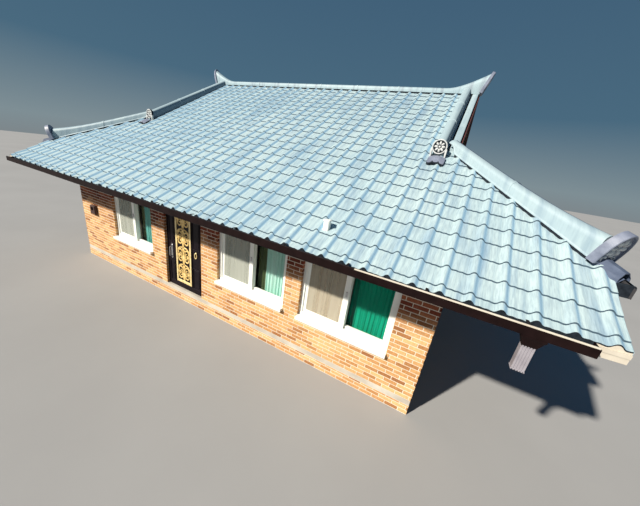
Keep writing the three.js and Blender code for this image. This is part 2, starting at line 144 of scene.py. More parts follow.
class Graph:
    """A node tree that grows by one output at a time."""

    def __init__(self, tree):
        self.nodes = tree.nodes
        self.links = tree.links

    def add(self, kind, output, inputs, **settings):
        """A new node's output. Each input takes a plain value or another node's output."""
        node = self.nodes.new(f"ShaderNode{kind}")
        for name, value in settings.items():
            setattr(node, name, value)
        for key, value in inputs.items():
            if isinstance(value, bpy.types.NodeSocket):
                self.links.new(value, node.inputs[key])
            else:
                node.inputs[key].default_value = value
        return node.outputs[output]

    def ramp(self, factor, stops):
        output = self.add("ValToRGB", "Color", {"Fac": factor})
        elements = output.node.color_ramp.elements
        while len(elements) < len(stops):
            elements.new(0.5)
        for element, (at, colour) in zip(elements, stops):
            element.position = at
            element.color = (*colour, 1.0)
        return output


class Paint(Graph):
    """A node material that starts from one principled shader and the object's own coordinates."""

    def __init__(self, name, roughness, metallic=0.0, gloss=0.5, alpha=1.0):
        self.material = bpy.data.materials.new(name)
        self.material.use_nodes = True
        super().__init__(self.material.node_tree)
        self.shader = next(n for n in self.nodes if n.type == "BSDF_PRINCIPLED")
        values = {"Roughness": roughness, "Metallic": metallic, "Specular IOR Level": gloss, "Alpha": alpha}
        for socket, value in values.items():
            self.shader.inputs[socket].default_value = value
        self.place = self.add("TexCoord", "Object", {})

    def noise(self, scale, detail=4.0, roughness=0.55, stretch=None):
        place = self.place
        if stretch:
            place = self.add("Mapping", "Vector", {"Vector": place, "Scale": stretch})
        inputs = {"Vector": place, "Scale": scale, "Detail": detail, "Roughness": roughness}
        return self.add("TexNoise", "Fac", inputs)

    def wave(self, scale, axis):
        return self.add("TexWave", "Fac", {"Vector": self.place, "Scale": scale}, bands_direction=axis)

    def tint(self):
        return self.add("Attribute", "Fac", {}, attribute_name="tint")

    def span(self, value, low, high):
        """0 where the value is low, 1 where it is high."""
        return self.add("MapRange", "Result", {"Value": value, "From Min": low, "From Max": high})

    def eave_shade_split(self, in_eave_shade=1.95, sunlit_below=1.5):
        """0 high on the walls under the eaves, where shade is painted, 1 low down, where sunlight is painted.
        """
        height = self.add("SeparateXYZ", "Z", {"Vector": self.place})
        patchy = self.add("Math", "Value", {0: self.noise(1.7, 3.0), 1: 0.5, 2: height},
                          operation="MULTIPLY_ADD")
        return self.span(patchy, in_eave_shade, sunlit_below)

    def facing(self, axis, low, high):
        """0 where the surface's own direction along an axis is low, 1 where it is high."""
        normal = self.add("SeparateXYZ", axis, {"Vector": self.place.node.outputs["Normal"]})
        return self.span(normal, low, high)

    def fade(self, factor, first, second, low=0.3, high=0.7):
        """The first colour where the factor is low, the second where it is high."""
        return self.ramp(factor, [(low, first), (high, second)])

    def band(self, factor, low, high):
        return self.fade(factor, (0.0, 0.0, 0.0), (1.0, 1.0, 1.0), low, high)

    def mix(self, factor, first, second, how="MIX"):
        inputs = {0: factor}
        for key, value in ((6, first), (7, second)):
            inputs[key] = (*value, 1.0) if isinstance(value, tuple) else value
        return self.add("Mix", 2, inputs, data_type="RGBA", blend_type=how)

    def overlay(self, amount, base, *pattern):
        """The base with a darker and lighter pattern over it."""
        return self.mix(amount, base, self.fade(*pattern), "OVERLAY")

    def colour(self, output):
        self.links.new(output, self.shader.inputs["Base Color"])

    def rough(self, factor, low, high):
        output = self.add("MapRange", "Result", {"Value": factor, "To Min": low, "To Max": high})
        self.links.new(output, self.shader.inputs["Roughness"])

    def bump(self, factor, depth, strength):
        """A relief over the ones before it."""
        normal = self.shader.inputs["Normal"]
        inputs = {"Height": factor, "Distance": depth, "Strength": strength}
        if normal.is_linked:
            inputs["Normal"] = normal.links[0].from_socket
        self.links.new(self.add("Bump", "Normal", inputs), normal)


def coated_sheet(name, pale, deep, dirt, painted_shade_flank, roughness=0.42, comb=0.25, across="X"):
    """Painted sheet that rain has combed down the slope. Its flanks that face across carry painted shade."""
    paint = Paint(name, roughness)
    broad = paint.fade(paint.noise(1.1, 5.0), deep, pale, high=0.62)
    down = (1.0, 0.09, 0.09) if across == "X" else (0.09, 1.0, 0.09)
    streaks = paint.band(paint.noise(9.0, 3.0, stretch=down), 0.5, 0.72)
    marked = paint.mix(streaks, broad, dirt)
    fine = paint.noise(90.0, 3.0, 0.6, down)
    combed = paint.overlay(comb, marked, fine, (0.22, 0.27, 0.32), (0.74, 0.76, 0.76), 0.36, 0.6)
    # Painted shade: the flanks that face across take the shade colour.
    low, high, colour = painted_shade_flank
    paint.colour(paint.mix(paint.facing(across, low, high), combed, colour))
    paint.rough(paint.noise(7.0), roughness - 0.1, roughness + 0.14)
    paint.bump(paint.noise(260.0, 2.0), 0.0006, 0.5)
    paint.bump(fine, 0.0012, 0.5)
    return paint.material


def mottled(name, dark, light, scale, roughness, metallic=0.0, depth=0.001, stretch=None, gloss=0.5):
    """Paint, glaze or plaster in cloudy patches with a fine grain."""
    paint = Paint(name, roughness, metallic, gloss)
    cloud = paint.fade(paint.noise(scale, 5.0, stretch=stretch), dark, light)
    grain = paint.noise(120.0, 3.0)
    paint.colour(paint.overlay(0.16, cloud, grain, dark, light))
    paint.rough(grain, max(0.05, roughness - 0.08), min(1.0, roughness + 0.1))
    paint.bump(grain, depth, 0.6)
    return paint.material


def brick_clay():
    """Bricks of many firings by their tint, with painted eave shade high up, painted sunlight lower down, and
    lime bloom.
    """
    paint = Paint("brick_clay", 0.86, gloss=0.2)
    in_eave_shade = paint.ramp(paint.tint(), [(0.0, (0.09, 0.02, 0.012)), (0.4, (0.15, 0.035, 0.018)),
                                          (0.8, (0.21, 0.055, 0.028)), (1.0, (0.3, 0.1, 0.045))])
    sunlit_clay = paint.ramp(paint.tint(), [(0.0, (0.3, 0.13, 0.05)), (0.2, (0.48, 0.25, 0.1)),
                                         (0.6, (0.58, 0.335, 0.15)), (1.0, (0.66, 0.42, 0.2))])
    # Painted light: the dark tints high up stand for the eaves' shade, the pale ones low down for sunlight.
    firing_tint_and_painted_light = paint.mix(paint.eave_shade_split(), in_eave_shade, sunlit_clay)
    blotch = paint.noise(34.0, 5.0)
    shaded = paint.overlay(0.4, firing_tint_and_painted_light, blotch, (0.3, 0.28, 0.26), (0.8, 0.78, 0.76))
    lime = paint.band(paint.noise(6.5, 6.0, 0.7), 0.6, 0.78)
    paint.colour(paint.mix(paint.mix(0.35, (0.0, 0.0, 0.0), lime), shaded, (0.6, 0.52, 0.42)))
    paint.bump(paint.noise(210.0, 3.0), 0.0012, 0.8)
    paint.bump(blotch, 0.002, 0.5)
    return paint.material


def mortar():
    paint = Paint("mortar", 0.93)
    base = paint.fade(paint.noise(3.0, 6.0), (0.7, 0.62, 0.48), (0.86, 0.78, 0.64))
    sand = paint.fade(paint.noise(150.0), (0.2, 0.18, 0.16), (0.9, 0.88, 0.84))
    paint.colour(paint.mix(0.3, base, sand))
    paint.bump(paint.noise(190.0, 4.0), 0.0015, 0.8)
    return paint.material


def boarding(name, dark, light, pitch):
    """Grained boards with dark joints on what faces down; the rest is painted near black as shade."""
    paint = Paint(name, 0.72)
    grain = paint.noise(28.0, 6.0, 0.6, (1.0, 0.08, 0.3))
    base = paint.fade(grain, dark, light, high=0.72)
    joint = paint.band(paint.wave(0.3142 / pitch / 2.0, "X"), 0.0, 0.035)
    boards = paint.mix(joint, tuple(0.25 * v for v in dark), base)
    # Faces that do not face down are painted near black as shade.
    paint.colour(paint.mix(paint.facing("Z", -0.3, -0.35), (0.03, 0.03, 0.035), boards))
    paint.bump(grain, 0.001, 0.6)
    paint.bump(joint, 0.004, 1.0)
    return paint.material


def window_glass():
    paint = Paint("window_glass", 0.04, gloss=0.2, alpha=0.12)
    paint.shader.inputs["IOR"].default_value = 1.5
    haze = paint.noise(2.2, 3.0)
    paint.colour(paint.fade(haze, (0.012, 0.016, 0.016), (0.025, 0.03, 0.03), 0.35, 0.65))
    paint.rough(haze, 0.02, 0.08)
    return paint.material


def cloth(name, fold, lit, other=None):
    """Woven curtain cloth. With a second colour, the faces whose tint is 0 take it."""
    paint = Paint(name, 0.85, gloss=0.1)
    threads = paint.mix(0.5, paint.wave(WEAVE, "X"), paint.wave(WEAVE, "Z"), "MULTIPLY")
    base = paint.fade(paint.noise(4.0, stretch=(1.0, 1.0, 0.25)), fold, lit)
    if other:
        base = paint.mix(paint.tint(), other, base)
    paint.colour(paint.mix(0.12, base, threads, "OVERLAY"))
    paint.bump(threads, 0.0006, 0.5)
    return paint.material


def fine_mesh(name, dark, light):
    """Insect screen, half seen through, slack in upright bands."""
    paint = Paint(name, 0.8, gloss=0.1, alpha=0.36)
    slack = paint.noise(1.0, stretch=(14.0, 1.0, 0.5))
    paint.colour(paint.fade(slack, dark, light, 0.35, 0.65))
    paint.bump(paint.noise(WEAVE, 2.0), 0.0004, 0.6)
    return paint.material


def leafed_metal(name, deep, bright, roughness):
    """Gilding that is deeper in colour and rougher in worn patches."""
    paint = Paint(name, roughness, 0.2)
    wear = paint.noise(18.0, 6.0, 0.65)
    paint.colour(paint.fade(wear, deep, bright, 0.28, 0.55))
    paint.rough(wear, roughness + 0.16, roughness - 0.08)
    paint.bump(paint.noise(240.0), 0.0006, 0.5)
    return paint.material


def brushed(name, dark, light):
    paint = Paint(name, 0.32, 0.9)
    lines = paint.noise(300.0, 2.0, stretch=(1.0, 1.0, 0.04))
    paint.colour(paint.fade(lines, dark, light))
    paint.rough(lines, 0.24, 0.42)
    paint.bump(lines, 0.0003, 0.5)
    return paint.material


SHEET_COLOURS = ((0.42, 0.52, 0.54), (0.35, 0.46, 0.5), (0.24, 0.34, 0.42))
# Flank colours for painted shade: sky-blue shade on the tile sheets, dark shade on the caps.
PAINTED_SKY_SHADE_FLANK = (0.1, 0.72, (0.29, 0.5, 0.68))
PAINTED_SHADE_FLANK = (0.62, 0.9, (0.1, 0.16, 0.22))
SHEET = coated_sheet("roof_sheet_coat_painted_flank_shade", *SHEET_COLOURS, PAINTED_SKY_SHADE_FLANK)
SIDE_SHEET = coated_sheet("side_sheet_coat_painted_flank_shade", *SHEET_COLOURS, PAINTED_SKY_SHADE_FLANK, across="Y")
CAP = coated_sheet("ridge_cap_coat_painted_flank_shade", (0.37, 0.47, 0.5), (0.32, 0.42, 0.47), (0.24, 0.33, 0.39),
                   PAINTED_SHADE_FLANK, 0.46, 0.08)
GREY_CAP = coated_sheet("main_ridge_coat_painted_flank_shade", (0.31, 0.42, 0.46), (0.26, 0.36, 0.41), (0.16, 0.2, 0.25),
                        PAINTED_SHADE_FLANK, 0.5, 0.08)
END_TILE = mottled("end_tile_glaze", (0.14, 0.16, 0.22), (0.28, 0.31, 0.39), 9.0, 0.42)
RELIEF = mottled("end_tile_relief", (0.42, 0.43, 0.44), (0.74, 0.75, 0.74), 16.0, 0.55)
# Painted shadow: near black for edges, gaps and grooves that lie in shade.
SHADOW_EDGE = mottled("sheet_edge_painted_shadow", (0.01, 0.014, 0.02), (0.026, 0.034, 0.046), 30.0, 0.8, gloss=0.1)
# Painted shade on the steps between tile rows.
STEP_PAINTED_SHADE = mottled("sheet_step_painted_shade", (0.05, 0.09, 0.12), (0.1, 0.15, 0.2), 30.0, 0.7, gloss=0.2)
# Painted shade on the hip caps' far flank and on the low corner caps.
PAINTED_SHADE_CAP = mottled("corner_cap_painted_shade", (0.06, 0.08, 0.13), (0.12, 0.15, 0.22), 9.0, 0.6, gloss=0.2)
CLAY = brick_clay()
MORTAR = mortar()
BAND = mottled("floor_band", (0.4, 0.36, 0.31), (0.6, 0.57, 0.5), 2.5, 0.9, depth=0.002)
PLASTER = mottled("gable_plaster", (0.5, 0.47, 0.42), (0.64, 0.62, 0.58), 1.6, 0.9, depth=0.002)
WHITE = mottled("window_white", (0.8, 0.81, 0.76), (0.88, 0.89, 0.84), 3.0, 0.34, depth=0.0003)
GLASS = window_glass()
TEAL = cloth("curtain_teal", (0.0, 0.36, 0.21), (0.002, 0.46, 0.28), (0.0, 0.24, 0.15))
MINT = cloth("curtain_mint", (0.16, 0.55, 0.5), (0.26, 0.66, 0.6), (0.14, 0.17, 0.08))
AQUA = cloth("curtain_aqua", (0.5, 0.9, 0.77), (0.64, 0.96, 0.86), (0.1, 0.14, 0.06))
# Dark cloths behind the screens: painted shade of the dark room behind them.
SHADE_DARKENED_BEIGE = cloth("curtain_beige_painted_shade", (0.16, 0.1, 0.07), (0.28, 0.18, 0.12))
SHADE_DARKENED_SHEER = cloth("curtain_sheer_painted_shade", (0.16, 0.15, 0.11), (0.3, 0.29, 0.23))
WARM_MESH = fine_mesh("screen_warm", (0.62, 0.54, 0.4), (0.76, 0.7, 0.56))
PALE_MESH = fine_mesh("screen_pale", (0.54, 0.57, 0.5), (0.66, 0.69, 0.62))
DARK_WOOD = mottled("dark_wood_paint", (0.07, 0.016, 0.012), (0.15, 0.045, 0.035), 5.0, 0.66,
                    stretch=(1.0, 0.2, 4.0))
SOFFIT = boarding("soffit_boards", (0.26, 0.15, 0.07), (0.44, 0.28, 0.15), 0.12)
DOOR_BLACK = mottled("door_black_metal", (0.004, 0.002, 0.005), (0.014, 0.008, 0.013), 6.0, 0.42, 0.2,
                     depth=0.0004, gloss=0.18)
GOLD = leafed_metal("door_gilt", (0.46, 0.28, 0.08), (0.86, 0.62, 0.24), 0.45)
PALE_GOLD = leafed_metal("door_gilt_edge", (0.6, 0.42, 0.16), (0.92, 0.74, 0.38), 0.4)
STEEL = brushed("handle_steel", (0.34, 0.34, 0.36), (0.62, 0.62, 0.64))
GUTTER_DARK = mottled("gutter_dark", (0.006, 0.002, 0.002), (0.015, 0.006, 0.006), 7.0, 0.5,
                      depth=0.0004, gloss=0.12)
GUTTER_CREAM = mottled("gutter_cream", (0.5, 0.45, 0.38), (0.62, 0.58, 0.5), 6.0, 0.5, depth=0.0004)
SPOUT_GREY = mottled("spout_grey", (0.26, 0.24, 0.27), (0.46, 0.44, 0.48), 6.0, 0.45, 0.2, depth=0.0004)
METER_BROWN = mottled("meter_box_brown", (0.04, 0.016, 0.012), (0.09, 0.04, 0.03), 12.0, 0.55, depth=0.0005)
PALE_FLOOR = mottled("pale_floor", (0.33, 0.33, 0.33), (0.36, 0.36, 0.36), 0.4, 0.9, depth=0.0005)


# Mesh building
def corner_block(low, high, edge):
    """Points and faces of a box whose edges are cut off at 45 degrees."""
    points, index = [], {}
    signs = [(a, b, c) for a in (0, 1) for b in (0, 1) for c in (0, 1)]
    for sign in signs:
        for axis in range(3):
            index[sign, axis] = len(points)
            shifts = [0.0 if i == axis else (edge, -edge)[sign[i]] for i in range(3)]
            points.append(tuple((low[i], high[i])[sign[i]] + shifts[i] for i in range(3)))
    faces = []
    for axis in range(3):
        b, c = [i for i in range(3) if i != axis]

        def corner(along, u, v):
            sign = [0, 0, 0]
            sign[axis], sign[b], sign[c] = along, u, v
            return tuple(sign)
        for side in (0, 1):
            square = ((0, 0), (1, 0), (1, 1), (0, 1))
            faces.append(tuple(index[corner(side, u, v), axis] for u, v in square))
        for u, v in ((0, 0), (0, 1), (1, 0), (1, 1)):
            near, far = corner(0, u, v), corner(1, u, v)
            faces.append((index[near, b], index[far, b], index[far, c], index[near, c]))
    return points, faces + [tuple(index[sign, axis] for axis in range(3)) for sign in signs]


def placed(name, mesh, paints, slot, body="house", smooth=None, stands_for=None):
    """The piece made of a mesh. Edges under the smooth angle are shaded smooth."""
    for paint in paints:
        mesh.materials.append(paint)
    if smooth is not None:
        mesh.shade_smooth()
        mesh.set_sharp_from_angle(angle=math.radians(smooth))
    mesh.update()
    piece = linked(name, mesh)
    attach(piece, body)
    if stands_for:
        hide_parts(stands_for)
    return piece


class Shape:
    """Faces gathered for one piece, each with a paint number and a tint."""

    def __init__(self):
        self.points = []
        self.faces = []
        self.paint = []
        self.tint = []

    def add(self, points, faces, paint=0, tint=0.5):
        start = len(self.points)
        self.points.extend(tuple(p) for p in points)
        self.faces.extend(tuple(start + i for i in face) for face in faces)
        self.paint.extend([paint] * len(faces))
        self.tint.extend([tint] * len(faces))

    def block(self, x, y, z, edge=0.004, paint=0):
        """A box between two values each of x, y and z, in either order."""
        low, high = zip(sorted(x), sorted(y), sorted(z))
        self.add(*corner_block(low, high, edge), paint)

    def loft(self, rings, paint=0, tint=0.5, ends=True):
        count = len(rings[0])
        last = (len(rings) - 1) * count
        faces = []
        for start in range(0, last, count):
            for i in range(count):
                a, b = start + i, start + (i + 1) % count
                faces.append((a, b, b + count, a + count))
        if ends:
            faces.append(tuple(range(count - 1, -1, -1)))
            faces.append(tuple(last + i for i in range(count)))
        self.add([p for ring in rings for p in ring], faces, paint, tint)

    def dome(self, centre, axes, radii, paint=0, rows=4, sides=12):
        """Half of an ellipsoid on a flat base, standing out along the third axis."""
        points = []
        for k in range(rows):
            up = math.pi / 2 * k / rows
            wide, deep = radii[0] * math.cos(up), radii[1] * math.cos(up)
            lift = axes[2] * (radii[2] * math.sin(up))
            points += [centre + axes[0] * (wide * cos) + axes[1] * (deep * sin) + lift
                       for cos, sin in circle(sides)]
        top = len(points)
        points.append(centre + axes[2] * radii[2])
        faces = [tuple(range(sides - 1, -1, -1))]
        for start in range(0, top, sides):
            for i in range(sides):
                a, b = start + i, start + (i + 1) % sides
                faces.append((a, b, top) if start + sides == top else (a, b, b + sides, a + sides))
        self.add(points, faces, paint)

    def tube(self, path, radius, paint=0, sides=8, closed=False, up=Vector((0, -1, 0))):
        """A round bar along points. It may nowhere run in the up direction."""
        rings = []
        count = len(path)
        for k, point in enumerate(path):
            before = path[k - 1] if (k or closed) else point
            after = path[(k + 1) % count] if (k + 1 < count or closed) else point
            ahead = (Vector(after) - Vector(before)).normalized()
            side = ahead.cross(up).normalized()
            lift = side.cross(ahead).normalized()
            rings.append([Vector(point) + side * (radius * cos) + lift * (radius * sin)
                          for cos, sin in circle(sides)])
        if closed:
            rings.append(rings[0])
        self.loft(rings, paint, ends=not closed)

    def mesh(self, name):
        mesh = bpy.data.meshes.new(name)
        mesh.from_pydata(self.points, [], self.faces)
        mesh.polygons.foreach_set("material_index", self.paint)
        return mesh

    def build(self, name, paints, slot, outward=True, **how):
        mesh = self.mesh(name)
        mesh.attributes.new("tint", "FLOAT", "FACE").data.foreach_set("value", self.tint)
        if outward:
            work = bmesh.new()
            work.from_mesh(mesh)
            bmesh.ops.remove_doubles(work, verts=work.verts, dist=1e-6)
            bmesh.ops.recalc_face_normals(work, faces=work.faces)
            work.to_mesh(mesh)
            work.free()
        return placed(name, mesh, paints, slot, **how)


# Roof sheets
def across_points(half):
    """Places across the slope where the pressed profile bends, with its height there."""
    marks = []
    first = math.floor((-half - TILE_START) / TILE_PITCH) - 1
    for n in range(first, first + int(2 * half / TILE_PITCH) + 4):
        marks += [(TILE_START + (n + part) * TILE_PITCH, height / 1000) for part, height in TILE_PROFILE]
    inside = [m for m in marks if abs(m[0]) < half - 1e-4]

    def height_at(u):
        for (a, height_a), (b, height_b) in zip(marks, marks[1:]):
            if a <= u <= b:
                return height_a + (height_b - height_a) * (u - a) / (b - a)
    return [(-half, height_at(-half)), *inside, (half, height_at(half))]


def sheet_rows(half, down, place, cream_from=9.0):
    """Rows of pressed tiles between two distances from the ridge. place(u, v, h) gives the point.
    The eave's edge is painted near black as shadow, and cream beyond cream_from."""
    shape = Shape()
    step, face, drop = 0.003, 0.012, 0.035
    cuts = [down[0], *[line for line in ROW_LINES if down[0] + 1e-4 < line < down[1] - 1e-4], down[1]]
    across = across_points(half)
    count = len(across)
    faces = [(i, i + 1, i + 1 + count, i + count) for i in range(count - 1)]

    def rise(v, near):
        start = max((line for line in ROW_LINES if line <= near + 1e-6), default=ROW_LINES[0] - TILE_ROW)
        return ROW_RISE * (v - start) / TILE_ROW

    for k, (a, b) in enumerate(zip(cuts, cuts[1:])):
        top, edge = [[place(u, v, h + rise(v, a)) for u, h in across] for v in (a, b)]
        shape.add(top + edge, faces)
        if k + 2 < len(cuts):
            # The step face takes painted shade.
            shape.add(edge + [place(u, b - step, h - step) for u, h in across], faces, 1)
        elif b > EAVE_Y - 1e-3:
            # The turned-down eave edge is painted near black as shadow, cream beyond cream_from.
            fold = [place(u, b + 0.0001, h + rise(b, a) - face) for u, h in across]
            foot = [place(u, b + 0.0002, -drop) for u, h in across]
            shape.add(edge + fold, faces, 2)
            for i in range(count - 1):
                ends = [fold[i], fold[i + 1], foot[i + 1], foot[i]]
                shape.add(ends, [(0, 1, 2, 3)], 3 if cream_from < abs(across[i][0]) else 2)
    return shape


def tile_sheet(name, coat, parts):
    """A slope's sheet from shapes that are each cut off beyond planes of their own."""
    work = bmesh.new()
    for shape, planes in parts:
        mesh = shape.mesh("part")
        cut = bmesh.new()
        cut.from_mesh(mesh)
        for point, normal in planes:
            everything = cut.verts[:] + cut.edges[:] + cut.faces[:]
            bmesh.ops.bisect_plane(cut, geom=everything, plane_co=point, plane_no=normal, clear_outer=True)
        cut.to_mesh(mesh)
        cut.free()
        work.from_mesh(mesh)
        bpy.data.meshes.remove(mesh)
    mesh = bpy.data.meshes.new(name)
    work.to_mesh(mesh)
    work.free()
    paints = [coat, STEP_PAINTED_SHADE, SHADOW_EDGE, GUTTER_CREAM]
    placed(f"{name}_tile_sheet", mesh, paints, "roof_sheet", smooth=50)


def roof_sheets():
    gap = 0.02
    main_upper_half, verge_foot = 3.6, 2.33
    side_upper_half, under_gable, gable_front = 1.85, 3.62, 3.86
    for name, side in FACES:
        def place(u, v, h, side=side):
            return (-side * u, side * v, main_z(v) + eave_lift(u, v) + h + SEAT)
        upper = sheet_rows(main_upper_half, (0.0, verge_foot), place)
        lower = sheet_rows(SHEET_HALF, (verge_foot, EAVE_Y), place, CREAM_FROM)
        hips = [((s * (HIP_SHIFT - gap), 0, 0), (s, -side, 0)) for s in (-1, 1)]
        tile_sheet(name, SHEET, [(upper, []), (lower, hips)])
    shift = SIDE_EAVE_X - EAVE_Y
    behind, gable = under_gable - shift, gable_front - shift
    for name, side in SIDES:
        def place(u, v, h, side=side):
            x = v + shift
            return (side * x, side * u, side_z(x) + h + SEAT)
        narrow = sheet_rows(side_upper_half, (behind, gable), place)
        wide = sheet_rows(SIDE_HALF, (gable, EAVE_Y), place)
        hips = [((side * (HIP_SHIFT + gap), 0, 0), (-side, s, 0)) for s in (-1, 1)]
        tile_sheet(name, SIDE_SHEET, [(narrow, []), (wide, hips)])


# Ridges
def cap_section(half, height, foot=0.0, lip=0.012):
    """A folded cap from its right foot over the rounded top to its left foot, with turned-out lips."""
    right = [(half + lip, foot), (half + lip, foot + 0.006), (half, foot + 0.012),
             (half * 0.985, max(height * 0.3, foot + 0.02)), (half * 0.95, max(height * 0.62, foot + 0.04))]
    arc = []
    for k in range(1, 8):
        turn = math.pi * k / 8
        arc.append((half * 0.93 * math.cos(turn), height * (0.68 + 0.32 * math.sin(turn))))
    left = [(-w, h) for w, h in reversed(right)]
    return [(0.0, foot + 0.002), *right, *arc, *left]


def seam_stations(start, end, spacing):
    """Stations along a ridge with how far each stands out: laps in the sheet stand 4 mm proud."""
    count = max(1, round((end - start) / spacing))
    wide, edge, proud = 0.035, 0.001, 0.004
    stations = [(start, 0.0)]
    for k in range(1, count):
        at = start + (end - start) / count * k
        stations += [(at - wide, 0.0), (at - wide + edge, proud), (at, proud), (at + edge, 0.0)]
    return [*stations, (end, 0.0)]


def grown(section, out):
    """A section made wider by out on each side, and higher above its foot."""
    return [(w + (out if w > 0 else -out if w < 0 else 0.0), h + (out if h > 0.08 else 0.0))
            for w, h in section]


def end_tile(shape, turn, width, height, thick, rim):
    """An arched end tile: rim, recessed face and a flower and scroll relief. Local X across, -Y outwards."""
    recess = thick - 0.016

    def ring(inset, depth):
        half = width / 2 - inset
        side = height * 0.3
        outline = [(-half, inset), (half, inset)]
        for k in range(15):
            angle = math.pi * k / 14
            outline.append((half * math.cos(angle), side + (height - inset - side) * math.sin(angle)))
        return [turn @ Vector((w, -depth, h)) for w, h in outline]
    stations = [(0.0, 0.0), (0.0, thick - 0.006), (0.006, thick), (rim - 0.006, thick), (rim, recess)]
    shape.loft([ring(inset, depth) for inset, depth in stations], 1)
    flower(shape, turn, height * 0.52, min(width, height) * 0.5 - rim - 0.02, recess, 2)
    for side in (-1, 1):
        path = []
        for k in range(15):
            t = k / 14
            radius = width * 0.13 * (1 - 0.7 * t)
            angle = -math.pi / 2 + 1.6 * math.pi * t
            across = side * (width * 0.19 + radius * math.cos(angle))
            up = height * 0.17 + radius * math.sin(angle) * 0.8
            path.append(turn @ Vector((across, -(thick - 0.013), up)))
        shape.tube(path, 0.008, 2, sides=6, up=turn.to_3x3() @ Vector((0, -1, 0)))


def flower(shape, turn, height, radius, depth, paint):
    """Eight petals round a boss, at a height on the tile's middle line."""
    basis = turn.to_3x3()
    out = basis @ Vector((0, -1, 0))
    reach = 0.62 * radius
    for cos, sin in circle(8):
        along = basis @ Vector((cos, 0, sin))
        across = basis @ Vector((-sin, 0, cos))
        petal = turn @ Vector((reach * cos, -depth, height + reach * sin))
        size = (radius * 0.34, radius * 0.2, 0.016)
        shape.dome(petal, (along, across, out), size, paint, rows=3, sides=10)
    boss = turn @ Vector((0.0, -depth, height))
    flat = (basis @ Vector((1, 0, 0)), basis @ Vector((0, 0, 1)), out)
    shape.dome(boss, flat, (radius * 0.2, radius * 0.2, 0.02), paint)


def disc(shape, turn, radius, thick):
    """A round end tile: a pale ring round a dark field with a flower on it."""
    count = 32
    field, recess = radius - 0.02, thick - 0.02
    stations = [(radius, 0.0), (radius, thick - 0.005), (radius - 0.005, thick), (radius - 0.014, thick),
                (field, recess)]

    def ring(r, depth):
        return [turn @ Vector((r * cos, -depth, r * sin)) for cos, sin in circle(count)]
    # The back, the outer side and the field take paint 2, the painted-shadow dark.
    shape.add(ring(radius, 0.0), [tuple(range(count))], 2)
    shape.loft([ring(r, d) for r, d in stations[:2]], 2, ends=False)
    shape.loft([ring(r, d) for r, d in stations[1:]], 1, ends=False)
    shape.add(ring(field, recess), [tuple(range(count))], 2)
    flower(shape, turn, 0.0, radius - 0.026, recess, 1)


def turned(at, heading, lean=0.0):
    """Local X across, -Y outwards; heading 0 faces -Y, and a lean tips the top outwards."""
    tilt = Matrix.Rotation(math.radians(lean), 4, "X")
    return Matrix.Translation(at) @ Matrix.Rotation(heading, 4, "Z") @ tilt


def main_ridge():
    shape = Shape()
    half, rise_from, end_x, flare = 0.098, 3.15, 3.82, 0.35
    lean = 19
    curve = [(k / 10, rise_from + (end_x - rise_from) * (k / 10)) for k in range(1, 11)]

    def ring(x, side, t, out):
        height = RIDGE_TOP - APEX_Z + (RIDGE_TIP - RIDGE_TOP) * t ** 1.8
        section = grown(cap_section(half, height, -0.012), out)
        return [(x + side * flare * t * max(0.0, h), w, APEX_Z + h) for w, h in section]

    rings = [ring(-x, -1, t, 0.0) for t, x in reversed(curve)]
    rings += [ring(x, 1, 0.0, out) for x, out in seam_stations(-rise_from, rise_from, 1.05)]
    rings += [ring(x, 1, t, 0.0) for t, x in curve]
    shape.loft(rings)
    for side in (-1, 1):
        # Near-black strips under the cap's lips: painted shadow in the gap above the tiles.
        shape.block((-3.78, 3.78), (side * 0.085, side * half), (APEX_Z - 0.085, APEX_Z - 0.01), 0.002, 3)
        foot = APEX_Z + 0.06 * math.sin(math.radians(lean)) + 0.002
        turn = turned((side * 3.812, 0, foot), side * math.pi / 2, lean)
        end_tile(shape, turn, 0.27, 0.44, 0.06, 0.03)
    paints = [GREY_CAP, END_TILE, RELIEF, SHADOW_EDGE]
    shape.build("main_ridge_cap", paints, "ridge_cap", smooth=40, stands_for="main_ridge")


